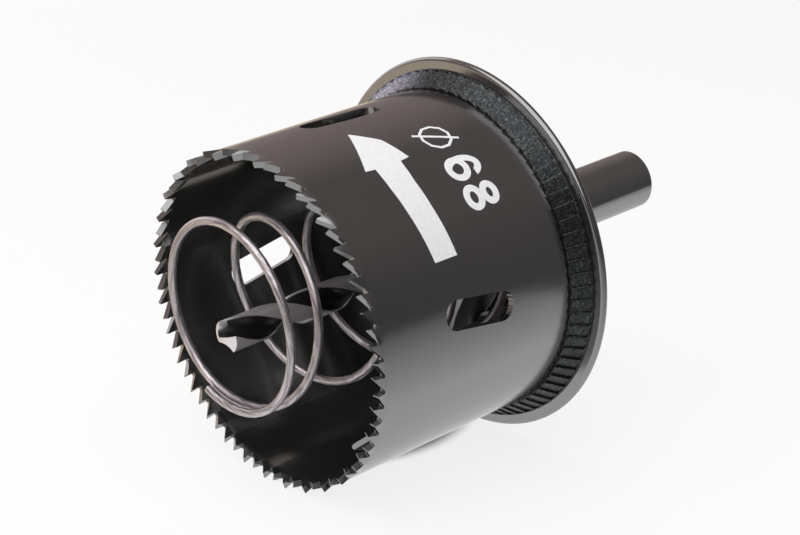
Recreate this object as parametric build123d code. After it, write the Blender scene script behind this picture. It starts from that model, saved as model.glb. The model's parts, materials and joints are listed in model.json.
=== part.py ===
"""Hole saw for recessed lamps: toothed cup, countersinking ring, stop flange, arbor, pilot drill and
ejector spring.

Each piece is drawn on the tool's own axis: +Z runs from the tooth tips at Z 0 towards the shank, and
angles are counted about Z from the side that is uppermost when the tool lies down. The whole tool is
then laid on the ground, on the rim of its flange and two neighbouring teeth, with its shank towards +X.
Lengths are in millimetres and angles in degrees.
"""
import os
from math import asin, atan2, cos, degrees, hypot, pi, radians, sin, sqrt, tan

from build123d import *

# ---- Saw cup ----
cup_diameter = 67.2          # outside of the wall, behind the teeth
cup_wall = 1.3
cup_depth = 52.8             # from the tooth tips to the outer face of the base
base_thickness = 1.6
cup_corner_radius = 2.2      # outside, where the wall turns into the base

tooth_count = 66             # an even number, because the teeth are set outwards and inwards in turn
tooth_height = 2.0
tooth_thickness = 1.2
tooth_set = 0.45             # how far a tip is bent out of the wall
tooth_hook = 5.0             # lean of the cutting face
gullet_width = 0.5           # flat bottom between two teeth
tooth_tip_land = 0.25
tooth_root = 0.4             # how far a tooth is let into the wall

slot_count = 4
slot_length = 16.8
slot_width = 5.7
slot_corner_radius = 2.6
slot_slant = 9.0             # the slots lean round the cup as they go back
slot_centre = 26.0           # from the tooth tips
slot_angle = -5.5            # the first slot, from the uppermost side

# ---- Countersinking ring ----
ring_land_width = 0.6
ring_cone_width = 2.6        # radial width of the toothed cone
ring_cone_height = 3.3       # axial height of the toothed cone
ring_rim = 0.2               # height of the plain rim between the cone and the flange
ring_play = 0.05             # radial play over the cup

serration_count = 80
serration_depth = 0.45
serration_width = 2.3
serration_margin = 0.3       # plain cone left at the ridge

# ---- Stop flange ----
flange_diameter = 78.2
flange_thickness = 1.7
flange_rim_radius = 0.8      # rounding of the rim's two edges

# ---- Arbor ----
shank_diameter = 12.7
shank_end = 105.0            # from the tooth tips
shank_chamfer = 0.8
collar_flats = 24.0          # across the flats of the hexagon behind the flange
collar_height = 10.0
nose_diameter = 18.0         # threaded nose that carries the cup, flange and nut
nose_play = 0.15             # radial play of the flange and cup on the nose
nose_proud = 1.2             # how far the nose stands out of the nut
nose_chamfer = 1.0

# ---- Lock nut and washer ----
nut_flats = 27.0
nut_height = 9.0
hexagon_chamfer_angle = 30.0 # of the nut and of the arbor's collar
thread_play = 0.05
washer_diameter = 29.0
washer_thickness = 1.6

# ---- Pilot drill ----
drill_diameter = 6.35
drill_proud = 9.6            # how far the point stands out past the tooth tips
drill_fluted_length = 46.0
drill_lead = 36.0
drill_angle = 6.5            # direction of one land at the tooth tips
drill_point_angle = 118.0
drill_web = 1.0
flute_radius = 2.9
drill_grip = 34.0            # length held in the arbor
drill_play = 0.05
drill_flat_depth = 0.35      # flat under the set screw
drill_flat_length = 9.0

# ---- Set screw ----
screw_diameter = 6.0
screw_length = 8.0
screw_play = 0.05
screw_socket_flats = 3.0
screw_socket_depth = 3.5
screw_chamfer = 0.6

# ---- Ejector spring ----
wire_diameter = 1.7
spring_front = -6.0          # foremost point of the free coil, from the tooth tips
spring_front_diameter = 38.0 # centre line of the free coil
spring_nut_gap = 0.2         # play of the rear coil round the nut's corners
spring_lean = 4.0            # how far the free coil stands off the axis
spring_lean_angle = -60.0
spring_end_angle = -154.3    # where the wire ends at the free coil
spring_taper = 2.7           # how soon the coils narrow and come back to the axis
spring_pitch = 16.6
front_closed_turns = 0.92
rear_closed_turns = 1.0
closed_gap = 0.05            # between touching turns
pitch_blend_turns = 0.2      # over which a closed turn opens
spring_seat_gap = 0.05
spring_arcs_per_turn = 8     # the wire is made of this many tangent arcs a turn
arc_share = 0.499            # share of a run between two arcs that each of them takes
end_share = 0.99             # share of the first and last run that its one arc takes

# ---- Sizes that follow ----
cup_radius = cup_diameter / 2
bore_radius = cup_radius - cup_wall
wall_middle = cup_radius - cup_wall / 2
base_inner = cup_depth - base_thickness
tooth_pitch = 360 / tooth_count
tooth_spacing = pi * 2 * wall_middle / tooth_count
tip_radius = wall_middle + tooth_thickness / 2 + tooth_set

ring_inner = cup_radius + ring_play
cone_inner = ring_inner + ring_land_width
cone_outer = cone_inner + ring_cone_width
ring_ridge = cup_depth - ring_rim
ring_front = ring_ridge - ring_cone_height

flange_radius = flange_diameter / 2
flange_back = cup_depth + flange_thickness
nose_radius = nose_diameter / 2
nose_hole = nose_radius + nose_play

nut_back = base_inner - washer_thickness
nut_front = nut_back - nut_height
nose_end = nut_front - nose_proud
collar_back = flange_back + collar_height
shank_radius = shank_diameter / 2

drill_radius = drill_diameter / 2
drill_tip = -drill_proud
drill_bore = drill_radius + drill_play
drill_back = nose_end + drill_grip
screw_height = (flange_back + collar_back) / 2
screw_seat = drill_radius - drill_flat_depth + drill_play
screw_radius = screw_diameter / 2

wire_radius = wire_diameter / 2
nut_corners = 2 * nut_flats / sqrt(3)
spring_rear_diameter = nut_corners + 2 * spring_nut_gap + wire_diameter  # centre line

# The tool leans on its flange and on two teeth that are set outwards, one on each side of a tooth that
# is set inwards, so its axis is lower at the teeth.
contact_radius = tip_radius * cos(radians(tooth_pitch))
rim_centre_radius = flange_radius - flange_rim_radius
rim_centre_height = cup_depth + flange_rim_radius
lean_rise = rim_centre_radius - contact_radius
centre_distance = hypot(lean_rise, rim_centre_height)
rest_tilt = degrees(atan2(lean_rise, rim_centre_height) + asin(flange_rim_radius / centre_distance))


def turned(points):
    """Solid of revolution about Z from (radius, height) points."""
    return revolve(Plane.XZ * make_face(Polyline(*points, close=True)), Axis.Z)


def hexagon(flats, height):
    """Hexagonal prism that stands on the XY plane, with two flats square to X."""
    return extrude(RegularPolygon(flats / 2, 6, major_radius=False, rotation=30), height)


def turned_hexagon(flats, front, back):
    """Hexagonal prism between two heights, with the corners of both ends turned off as on a nut."""
    corner = flats / sqrt(3)
    drop = (corner - flats / 2) * tan(radians(hexagon_chamfer_angle))
    envelope = turned([
        (0, front),
        (flats / 2, front),
        (corner, front + drop),
        (corner, back - drop),
        (flats / 2, back),
        (0, back),
    ])
    return Pos(0, 0, front) * hexagon(flats, back - front) & envelope


def tooth(direction):
    """One saw tooth on the wall's rim, bent outwards for direction 1 and inwards for -1."""
    face_root = tooth_height * tan(radians(tooth_hook))
    back_root = tooth_spacing + face_root - gullet_width
    outline = Polyline(
        (0, -tooth_height),
        (tooth_tip_land, -tooth_height),
        (back_root, 0),
        (back_root, tooth_root),
        (face_root, tooth_root),
        (face_root, 0),
        close=True,
    )
    blank = extrude(Plane.YZ * make_face(outline), tooth_thickness / 2, both=True)
    bend = degrees(asin(tooth_set / tooth_height))
    return Pos(wall_middle, 0, tooth_height) * Rot(Y=-direction * bend) * blank


def make_saw_cup():
    """Drawn steel cup with set teeth on its rim, chip slots and a hole for the arbor's nose."""
    outside = Pos(0, 0, tooth_height) * extrude(Circle(cup_radius), cup_depth - tooth_height)
    outside = fillet(outside.edges().group_by(Axis.Z)[-1], cup_corner_radius)
    inside = extrude(Circle(bore_radius), base_inner)
    inside = fillet(inside.edges().group_by(Axis.Z)[-1], cup_corner_radius - cup_wall)
    cup = outside - inside - extrude(Circle(nose_hole), cup_depth)
    slot = RectangleRounded(slot_length, slot_width, slot_corner_radius, rotation=-slot_slant)
    for index in range(slot_count):
        angle = radians(slot_angle + index * 360 / slot_count)
        side = Plane(origin=(0, 0, slot_centre), x_dir=(0, 0, 1), z_dir=(cos(angle), sin(angle), 0))
        cup -= extrude(side * slot, cup_diameter)
    teeth = [
        Rot(Z=index * tooth_pitch) * tooth(1 if index % 2 == 0 else -1)
        for index in range(tooth_count)
    ]
    return cup + teeth


def make_countersink_ring():
    """Hardened ring round the cup's back end, with ratchet-shaped cutting serrations on its cone."""
    ring = turned([
        (ring_inner, ring_front),
        (cone_inner, ring_front),
        (cone_outer, ring_ridge),
        (cone_outer, cup_depth),
        (ring_inner, cup_depth),
    ])
    notch = make_face(Polyline(
        (0, 0),
        (serration_width, serration_depth),
        (serration_width, -serration_depth),
        (0, -serration_depth),
        close=True,
    ))
    cone_length = hypot(ring_cone_width, ring_cone_height)
    cone_side = Plane(
        origin=(cone_inner, 0, ring_front),
        x_dir=(0, 1, 0),
        z_dir=(ring_cone_width, 0, ring_cone_height),
    )
    cut_length = cone_length + serration_depth - serration_margin
    cutter = extrude(cone_side.offset(-serration_depth) * notch, cut_length)
    cutters = [Rot(Z=index * 360 / serration_count) * cutter for index in range(serration_count)]
    return ring - cutters


def make_stop_flange():
    """Round steel disc behind the cup and the ring, which limits the depth of the cut."""
    disc = Pos(0, 0, cup_depth) * extrude(Circle(flange_radius) - Circle(nose_hole), flange_thickness)
    rim = disc.edges().filter_by(GeomType.CIRCLE).group_by(SortBy.RADIUS)[-1]
    return fillet(rim, flange_rim_radius)


def make_arbor():
    """Turned steel arbor: round shank, hexagonal collar and threaded nose, bored for the pilot drill."""
    collar = turned_hexagon(collar_flats, flange_back, collar_back)
    stem = turned([
        (0, nose_end),
        (nose_radius - nose_chamfer, nose_end),
        (nose_radius, nose_end + nose_chamfer),
        (nose_radius, flange_back),
        (shank_radius, flange_back),
        (shank_radius, shank_end - shank_chamfer),
        (shank_radius - shank_chamfer, shank_end),
        (0, shank_end),
    ])
    bore = Pos(0, 0, nose_end) * extrude(Circle(drill_bore), drill_grip)
    collar_side = Plane(origin=(0, 0, screw_height), x_dir=(0, 0, 1), z_dir=(1, 0, 0))
    screw_hole = extrude(collar_side * Circle(screw_radius + screw_play), collar_flats)
    return collar + stem - bore - screw_hole


def make_lock_nut():
    """Hexagonal nut that clamps the cup and flange against the collar."""
    bore = Pos(0, 0, nut_front) * extrude(Circle(nose_radius + thread_play), nut_height)
    return turned_hexagon(nut_flats, nut_front, nut_back) - bore


def make_washer():
    """Plain washer between the nut and the cup's base."""
    ring = Circle(washer_diameter / 2) - Circle(nose_hole)
    return Pos(0, 0, nut_back) * extrude(ring, washer_thickness)


def make_pilot_drill():
    """Twist drill with two helical flutes, a cone point and a flat for the set screw."""
    flute_offset = drill_web / 2 + flute_radius
    section = Circle(drill_radius) - Pos(0, flute_offset) * Circle(flute_radius)
    section -= Pos(0, -flute_offset) * Circle(flute_radius)
    twist = 360 * drill_fluted_length / drill_lead
    fluted = Solid.extrude_linear_with_rotation(section.face(), (0, 0, 0), (0, 0, drill_fluted_length), twist)
    start_angle = drill_angle + 360 * drill_tip / drill_lead
    fluted = Pos(0, 0, drill_tip) * Rot(Z=start_angle) * fluted
    fluted_end = drill_tip + drill_fluted_length
    plain = Pos(0, 0, fluted_end) * extrude(Circle(drill_radius), drill_back - fluted_end)
    point_height = drill_radius / tan(radians(drill_point_angle / 2))
    point_envelope = turned([
        (0, drill_tip),
        (drill_radius * 2, drill_tip + point_height * 2),
        (drill_radius * 2, drill_back),
        (0, drill_back),
    ])
    flat = Pos(drill_radius - drill_flat_depth, 0, screw_height) * Box(
        drill_radius, drill_diameter, drill_flat_length, align=(Align.MIN, Align.CENTER, Align.CENTER)
    )
    return (fluted + plain) & point_envelope - flat


def make_set_screw():
    """Grub screw with a hexagonal socket that holds the drill in the arbor."""
    barrel = extrude(Circle(screw_radius), screw_length)
    barrel = chamfer(barrel.edges().filter_by(GeomType.CIRCLE), screw_chamfer)
    socket = Pos(0, 0, screw_length) * hexagon(screw_socket_flats, -screw_socket_depth)
    return Pos(screw_seat, 0, screw_height) * Rot(Y=90) * (barrel - socket)


def opened(turns):
    """How far a coil has opened some turns after it stops being closed, with an even change of pitch."""
    if turns <= 0:
        return 0
    if turns < pitch_blend_turns:
        return turns * turns / (2 * pitch_blend_turns)
    return turns - pitch_blend_turns / 2


def make_ejector_spring():
    """Left-hand compression spring with closed ends; its free coil is wider and stands off the axis."""
    closed_rise = wire_diameter + closed_gap
    first = spring_front + wire_radius
    last = base_inner - spring_seat_gap - wire_radius
    closed_part = front_closed_turns + rear_closed_turns + pitch_blend_turns
    open_turns = (last - first - closed_part * closed_rise) / spring_pitch
    all_turns = closed_part + open_turns
    count = round(all_turns * spring_arcs_per_turn)
    corners = []
    for index in range(count + 1):
        turns = all_turns * index / count
        after_closed = turns - front_closed_turns
        spread = opened(after_closed) - opened(after_closed - open_turns)
        height = first + closed_rise * turns + (spring_pitch - closed_rise) * spread
        freedom = max((last - height) / (last - first), 0) ** spring_taper
        coil_radius = (spring_rear_diameter + (spring_front_diameter - spring_rear_diameter) * freedom) / 2
        corner_radius = coil_radius / cos(pi / spring_arcs_per_turn)
        angle = radians(spring_end_angle - 360 * turns)
        lean = spring_lean * freedom
        corners.append(Vector(
            corner_radius * cos(angle) + lean * cos(radians(spring_lean_angle)),
            corner_radius * sin(angle) + lean * sin(radians(spring_lean_angle)),
            height,
        ))
    # Each arc touches two runs at their middles, so the wire starts and ends in the middle of a run.
    corners[0] = (corners[0] + corners[1]) / 2
    corners[-1] = (corners[-1] + corners[-2]) / 2
    runs = [after - before for before, after in zip(corners, corners[1:])]
    radii = []
    for index, (run, next_run) in enumerate(zip(runs, runs[1:])):
        room = min(
            run.length * (end_share if index == 0 else arc_share),
            next_run.length * (end_share if index == len(runs) - 2 else arc_share),
        )
        radii.append(room / tan(radians(run.get_angle(next_run)) / 2))
    wire_line = FilletPolyline(*corners, radius=radii)
    start = Plane(origin=wire_line @ 0, z_dir=wire_line % 0)
    return sweep(start * Circle(wire_radius), wire_line)


def laid_down(piece):
    """The piece turned from the tool's axis to where it lies on the ground, with the shank towards +X."""
    tilt = radians(rest_tilt)
    lying = Plane(origin=(0, 0, 0), x_dir=(-sin(tilt), 0, cos(tilt)), z_dir=(cos(tilt), 0, sin(tilt)))
    return lying.location * piece


pieces = {
    "saw_cup": make_saw_cup(),
    "countersink_ring": make_countersink_ring(),
    "stop_flange": make_stop_flange(),
    "arbor": make_arbor(),
    "lock_nut": make_lock_nut(),
    "washer": make_washer(),
    "pilot_drill": make_pilot_drill(),
    "set_screw": make_set_screw(),
    "ejector_spring": make_ejector_spring(),
}

pieces = {name: laid_down(piece) for name, piece in pieces.items()}
box = Compound(children=[Compound(children=piece.solids()) for piece in pieces.values()]).bounding_box()
onto_ground = Pos(-(box.min.X + box.max.X) / 2, -(box.min.Y + box.max.Y) / 2, -box.min.Z)

os.makedirs("parts", exist_ok=True)
for name, piece in pieces.items():
    export_step(onto_ground * piece, f"parts/{name}.step")
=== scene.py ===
"""Detailed pieces, finishes, light and camera for a hole saw for recessed lamps.

Each piece is modelled on the tool's own axis, with Z running from the tooth tips towards the shank and
angles counted about Z from the side that is uppermost when the tool lies down. It is then laid down in
its mesh, so that its object stays at the origin.
"""
import json
from math import atan2, cos, hypot, pi, radians, sin, sqrt, tan

import bmesh
import bpy
from mathutils import Matrix, Quaternion, Vector


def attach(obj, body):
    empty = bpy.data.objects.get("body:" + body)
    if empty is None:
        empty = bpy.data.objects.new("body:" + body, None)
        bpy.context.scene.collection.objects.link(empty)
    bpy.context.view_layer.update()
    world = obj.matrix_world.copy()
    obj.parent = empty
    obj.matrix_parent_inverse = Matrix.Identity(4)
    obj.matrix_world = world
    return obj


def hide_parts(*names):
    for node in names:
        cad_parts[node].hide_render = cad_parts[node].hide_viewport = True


bl_info = {
    "name": "Hole saw",
    "version": (1, 0, 0),
    "blender": (4, 5, 0),
    "location": "3D View > Sidebar > Hole saw",
    "description": "Builds the visible pieces of a hole saw with its arbor, drill and ejector spring",
    "category": "Object",
}

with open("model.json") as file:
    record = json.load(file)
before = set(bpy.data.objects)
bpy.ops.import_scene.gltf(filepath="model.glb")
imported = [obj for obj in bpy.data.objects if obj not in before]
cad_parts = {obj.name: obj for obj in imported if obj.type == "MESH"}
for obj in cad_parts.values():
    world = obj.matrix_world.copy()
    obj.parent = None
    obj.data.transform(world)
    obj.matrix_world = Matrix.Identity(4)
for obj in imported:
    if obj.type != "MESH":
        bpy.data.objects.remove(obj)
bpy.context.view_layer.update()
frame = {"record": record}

SHANK = frame["record"]["mounts"][0]
SHANK_AXIS = Vector(SHANK["axis"]).normalized()
TILT = atan2(SHANK_AXIS.z, SHANK_AXIS.x)

MERGE_DISTANCE = 2e-6
FULL_TURN = 2 * pi

MARK_DEPTH = 0.0005  # of a mark while it is being drawn

# Finishes: each pair is where a change starts and ends, in metres unless it says otherwise.
LACQUER_IOR = 3.0  # mirrors about 25% head on, more than real lacquer, as the floor stays at plain white
CUP_INSIDE = (0.0326, 0.0332)  # distance from the axis
# Where the highlight painted on one side of the ring starts and ends
RING_PAINTED_HIGHLIGHT = (0.001, -0.014)  # across the tool
DRILL_LAND = (0.0027, 0.0029)  # distance from the axis
GROUND_FACING = (0.25, 0.45)  # how squarely a face looks forward, from 0 to 1
GROUND_BACK = -0.0065  # from the tooth tips

# Marks: degrees round the wall and millimetres from the tooth tips.
MARKS_TURN = -14.18
SIZE_ANGLE, SIGN_ANGLE = 58.58, 38.48
ARROW = (
    (23.6, 20.6), (32.0, 24.6), (42.8, 26.1), (43.3, 23.8), (52, 23.2), (62, 23.2), (79.1, 23.7),
    (79.0, 18.3), (62, 17.6), (52, 17.4), (43.2, 17.6), (42.9, 15.4), (23.6, 20.6),
)
TAIL_GAP = -0.27  # place of the gap in the six, as a share of a digit's height
# Name, which digit, shares of a digit's width and height, and its lower (-1) or upper (1) end.
DIGIT_LOOPS = (("bowl", 0, 1, 0.65, -1), ("eight_foot", 1, 0.98, 0.55, -1), ("eight_head", 1, 0.9, 0.5, 1))
COLUMN = 0.0012  # width of the strips in which a mark is bent

# Stage
CAMERA_AIM, CAMERA_DISTANCE = Vector((-0.007202, 0.005341, 0.035158)), 0.394896
CAMERA_AZIMUTH, CAMERA_ELEVATION, CAMERA_ROLL = radians(-41.993), radians(17.866), radians(0.554)
CAMERA_LENS, CAMERA_SENSOR = 87.364, 36
KEY_PLACE, BACK_PLACE = Vector((-0.5, -0.2, 0.9)), Vector((0.05, 0.95, 0.40))
# Painted shadow on the floor under the cup: middle, half sizes, fading edge and colour of a dark oval
PAINTED_SHADOW_MIDDLE, PAINTED_SHADOW_HALF, PAINTED_SHADOW_EDGE = (-0.012, 0.012, 0), (0.03, 0.022, 1), (0.70, 0.95)
PAINTED_SHADOW_COLOUR = (0.02, 0.02, 0.02, 1)


# ---- Sizes, colours and light that a user would change ----

def length(name, description, default):
    """A length property, in metres."""
    return bpy.props.FloatProperty(
        name=name, description=description, default=default, precision=5, unit="LENGTH", subtype="DISTANCE"
    )


def turn(name, description, degrees):
    """An angle property, given in degrees."""
    return bpy.props.FloatProperty(
        name=name, description=description, default=radians(degrees), unit="ROTATION", subtype="ANGLE"
    )


def count(name, description, default):
    """A whole number property."""
    return bpy.props.IntProperty(name=name, description=description, default=default, min=1)


def share(name, description, default):
    """A plain number property."""
    return bpy.props.FloatProperty(name=name, description=description, default=default, precision=3)


def colour(name, description, default):
    """A colour property."""
    return bpy.props.FloatVectorProperty(
        name=name, description=description, default=default, size=3, min=0, max=1, subtype="COLOR"
    )


def group(kind, name, description):
    """A group of settings."""
    return bpy.props.PointerProperty(type=kind, name=name, description=description)


class PlaceSizes(bpy.types.PropertyGroup):
    tilt: bpy.props.FloatProperty(
        name="Tilt", description="Slope of the tool's axis on the floor", default=TILT,
        unit="ROTATION", subtype="ANGLE"
    )
    shank_mount_height: length("Shank mount height", "Middle of the shank mount from the tooth tips", 0.08435)


class CupSizes(bpy.types.PropertyGroup):
    diameter: length("Diameter", "Outside of the wall behind the teeth", 0.0672)
    wall: length("Wall", "Thickness of the wall", 0.0013)
    depth: length("Depth", "From the tooth tips to the outer face of the base", 0.0528)
    base: length("Base", "Thickness of the base", 0.0016)
    corner: length("Corner", "Outer radius between wall and base", 0.0022)
    hole: length("Base hole", "Diameter of the hole in the base", 0.0183)
    tooth_pairs: count("Tooth pairs", "Pairs of one outset and one inset tooth", 33)
    tooth_height: length("Tooth height", "From gullet to tip", 0.002)
    tooth_set: length("Tooth set", "How far a tip is bent out of the wall", 0.00045)
    tooth_hook: turn("Tooth hook", "Lean of the cutting face", 5)
    gullet: length("Gullet", "Flat bottom between two teeth", 0.0005)
    tip_land: length("Tip land", "Flat at a tooth's tip", 0.00025)
    slot_count: count("Slots", "Chip slots in the wall", 4)
    slot_length: length("Slot length", "Length of a chip slot", 0.0168)
    slot_width: length("Slot width", "Width of a chip slot", 0.0057)
    slot_corner: length("Slot corner", "Corner radius of a chip slot", 0.0026)
    slot_slant: turn("Slot slant", "Lean of a chip slot round the cup", 9)
    slot_centre: length("Slot centre", "Middle of the slots from the tooth tips", 0.026)
    slot_angle: turn("Slot angle", "Direction of the first slot", -5.5)
    edge: length("Edge", "Rounding of the cup's edges", 0.00012)


class RingSizes(bpy.types.PropertyGroup):
    inner: length("Bore", "Inner radius of the ring", 0.03365)
    land: length("Land", "Width of the flat front land", 0.0006)
    cone_width: length("Cone width", "Radial width of the serrated cone", 0.0026)
    cone_height: length("Cone height", "Axial height of the serrated cone", 0.0033)
    back: length("Back", "Back face of the ring from the tooth tips", 0.0528)
    rim: length("Rim", "Height of the plain rim between the cone and the flange", 0.0002)
    serrations: count("Serrations", "Cutting serrations round the cone", 80)
    serration_depth: length("Serration depth", "Depth of a serration", 0.00045)
    serration_width: length("Serration width", "Width of a serration", 0.0023)
    serration_margin: length("Serration margin", "Plain cone left at the ridge", 0.0003)
    edge: length("Edge", "Rounding of the ring's edges", 0.00006)


class FlangeSizes(bpy.types.PropertyGroup):
    diameter: length("Diameter", "Outside diameter of the stop flange", 0.0782)
    front: length("Front", "Front face from the tooth tips", 0.0528)
    thickness: length("Thickness", "Thickness of the disc", 0.0017)
    rim: length("Rim rounding", "Radius of the rim's edges", 0.0008)
    hole: length("Hole", "Diameter of the hole for the arbor", 0.0183)


class ArborSizes(bpy.types.PropertyGroup):
    shank: length("Shank", "Diameter of the shank", 0.0127)
    end: length("End", "End of the shank from the tooth tips", 0.105)
    chamfer: length("Chamfer", "Chamfer at the end of the shank", 0.0008)
    collar_flats: length("Collar", "Across the flats of the collar", 0.024)
    collar_front: length("Collar front", "Front of the collar from the tooth tips", 0.0545)
    collar_height: length("Collar height", "Height of the collar", 0.01)
    nose: length("Nose", "Diameter of the threaded nose", 0.018)
    nose_end: length("Nose end", "End of the nose from the tooth tips", 0.0394)
    nose_chamfer: length("Nose chamfer", "Chamfer of the nose", 0.001)
    bore: length("Bore", "Diameter of the bore for the drill", 0.00645)
    bore_depth: length("Bore depth", "Depth of the bore", 0.034)
    screw_hole: length("Screw hole", "Diameter of the hole for the set screw", 0.0061)
    screw_height: length("Screw height", "Set screw from the tooth tips", 0.0595)


class FastenerSizes(bpy.types.PropertyGroup):
    nut_flats: length("Nut", "Across the flats of the lock nut", 0.027)
    nut_front: length("Nut front", "Front of the nut from the tooth tips", 0.0406)
    nut_height: length("Nut height", "Height of the nut", 0.009)
    nut_bore: length("Nut bore", "Bore of the nut", 0.0181)
    washer: length("Washer", "Outside diameter of the washer", 0.029)
    washer_hole: length("Washer hole", "Hole of the washer", 0.0183)
    washer_thickness: length("Washer thickness", "Thickness of the washer", 0.0016)
    screw: length("Set screw", "Diameter of the set screw", 0.006)
    screw_length: length("Set screw length", "Length of the set screw", 0.008)
    screw_seat: length("Set screw seat", "Inner end of the set screw from the axis", 0.002875)
    socket: length("Socket", "Across the flats of the set screw's socket", 0.003)
    socket_depth: length("Socket depth", "Depth of the socket", 0.0035)
    chamfer_angle: turn("Corner chamfer", "Slope of the turned corners of a hexagon", 30)


class DrillSizes(bpy.types.PropertyGroup):
    diameter: length("Diameter", "Diameter of the pilot drill", 0.00635)
    proud: length("Proud", "How far the point stands past the tooth tips", 0.0096)
    fluted: length("Fluted length", "Length of the flutes", 0.046)
    lead: length("Lead", "Rise of a flute in one turn", 0.036)
    land_angle: turn("Land angle", "Direction of one land at the tooth tips", 6.5)
    point: turn("Point angle", "Angle of the drill's point", 118)
    web: length("Web", "Thickness between the flutes", 0.001)
    flute: length("Flute radius", "Radius of a flute", 0.0029)
    back: length("Back", "Back end of the drill from the tooth tips", 0.0734)


class SpringSizes(bpy.types.PropertyGroup):
    wire: length("Wire", "Diameter of the wire", 0.0017)
    front: length("Front", "Foremost point of the free coil from the tooth tips", -0.006)
    back: length("Back", "Rearmost point of the last coil from the tooth tips", 0.05115)
    front_coil: length("Front coil", "Diameter of the free coil's centre line", 0.038)
    rear_coil: length("Rear coil", "Diameter of the rear coil's centre line", 0.033277)
    lean: length("Lean", "How far the free coil stands off the axis", 0.004)
    lean_angle: turn("Lean angle", "Direction of the lean", -60)
    end_angle: turn("End angle", "Where the wire ends at the free coil", -154.3)
    taper: share("Taper", "How soon the coils narrow and come back to the axis", 2.7)
    pitch: length("Pitch", "Rise of the open coils in one turn", 0.0166)
    front_closed: share("Front closed turns", "Closed turns at the free coil", 0.92)
    rear_closed: share("Rear closed turns", "Closed turns at the base", 1.0)
    closed_gap: length("Closed gap", "Gap between touching turns", 0.00005)
    blend_turns: share("Blend turns", "Turns over which a closed turn opens", 0.2)


class MarkSizes(bpy.types.PropertyGroup):
    proud: length("Proud", "Thickness of the print", 0.00002)
    digit_height: length("Digit height", "Height of a digit", 0.0082)
    digit_width: length("Digit width", "Width of a digit", 0.0055)
    digit_line: length("Digit line", "Width of a digit's line", 0.00142)
    digit_step: length("Digit step", "From the middle of one digit to the next", 0.00642)
    size_centre: length("Size centre", "Middle of the digits from the tooth tips", 0.035)
    sign_radius: length("Sign radius", "Outside radius of the diameter sign's ring", 0.0034)
    sign_line: length("Sign line", "Width of the diameter sign's lines", 0.00055)
    sign_stroke: length("Sign stroke", "Length of the diameter sign's stroke", 0.00945)
    sign_slope: turn("Sign slope", "Slope of the diameter sign's stroke", 63.8)


class FinishColours(bpy.types.PropertyGroup):
    lacquer: colour("Lacquer", "Black gloss lacquer", (0.006, 0.0055, 0.006))
    inside: colour("Inside", "Lacquer inside the cup", (0.017, 0.019, 0.018))
    blackened: colour("Blackened steel", "Oxidised hard steel", (0.045, 0.048, 0.050))
    # A highlight painted into the ring's colour: one side of the ring is lighter and lavender.
    painted_highlight: colour("Light patch", "Light patch painted on one side of the ring", (0.24, 0.24, 0.30))
    wire: colour("Wire", "Drawn spring wire", (0.42, 0.385, 0.40))
    drill: colour("Drill", "Ground lands of the drill", (0.72, 0.68, 0.69))
    flute: colour("Flute", "Black flutes of the drill", (0.03, 0.03, 0.032))
    plated: colour("Plated steel", "Zinc plate", (0.46, 0.46, 0.45))
    print_white: colour("Print", "Printed arrow and size", (0.90, 0.91, 0.93))


class StageSettings(bpy.types.PropertyGroup):
    floor: colour("Floor", "Colour of the floor", (0.93, 0.93, 0.93))
    floor_size: length("Floor size", "Side of the square floor", 2.4)
    floor_glow: share("Floor glow", "Share of the floor's white that no shadow reaches", 0.82)
    # The floor goes on past this line. Only its glow in the gloss is painted dim beyond it.
    edge: length("Floor edge", "Where the white floor ends, from the middle of the object", 0.011)
    edge_slope: share("Edge slope", "Slope of the floor's edge", 0.658)
    backdrop: colour("Backdrop", "White behind the object", (1.0, 1.0, 1.0))
    falloff: share("Falloff", "How soon the mirrored floor darkens away from the tool", 0.62)
    falloff_start: length("Falloff start", "Distance at which the mirrored floor starts to darken", 0.047)
    # A warm glow painted on the floor behind the tool, seen only in the gloss.
    painted_warm_glow: colour(
        "Floor behind", "Warm floor behind the tool that the gloss mirrors", (1.0, 0.86, 0.68)
    )
    room_front: colour(
        "Room in front", "Dim room before the tool that the gloss mirrors", (0.128, 0.123, 0.128)
    )
    room_above: colour("Room above", "Room over the tool", (0.21, 0.188, 0.180))
    room_behind: colour("Room behind", "Brighter wall behind the tool", (0.42, 0.34, 0.33))
    key: share("Key light", "Brightness of the large softbox", 1.9)
    key_size: length("Key size", "Side of the large softbox", 1.6)
    back: share("Back light", "Brightness of the softbox behind the tool", 1.1)
    back_size: length("Back size", "Side of the softbox behind the tool", 0.8)


class HoleSawSettings(bpy.types.PropertyGroup):
    place: group(PlaceSizes, "Place", "How the tool lies")
    cup: group(CupSizes, "Cup", "Saw cup")
    ring: group(RingSizes, "Ring", "Countersinking ring")
    flange: group(FlangeSizes, "Flange", "Stop flange")
    arbor: group(ArborSizes, "Arbor", "Arbor")
    fasteners: group(FastenerSizes, "Fasteners", "Nut, washer, screw")
    drill: group(DrillSizes, "Drill", "Pilot drill")
    spring: group(SpringSizes, "Spring", "Ejector spring")
    marks: group(MarkSizes, "Marks", "Printed marks")
    colours: group(FinishColours, "Colours", "Colours of the finishes")
    stage: group(StageSettings, "Stage", "Floor and light")


# ---- Modelling by hand ----

def laid_down():
    """Matrix from the tool's own axis to where it lies on the floor."""
    place = bpy.context.scene.hole_saw.place
    axis = Vector((cos(place.tilt), 0, sin(place.tilt)))
    up = Vector((-sin(place.tilt), 0, cos(place.tilt)))
    side = axis.cross(up)
    origin = Vector(SHANK["pos_m"]) - axis * place.shank_mount_height
    turned_axes = Matrix((up, side, axis)).transposed()
    return Matrix.Translation(origin) @ turned_axes.to_4x4()


def deselect_all():
    """Leaves object mode with nothing selected, as the CAD nodes would otherwise be changed too."""
    if bpy.context.mode != "OBJECT":
        bpy.ops.object.mode_set(mode="OBJECT")
    bpy.ops.object.select_all(action="DESELECT")


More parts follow.
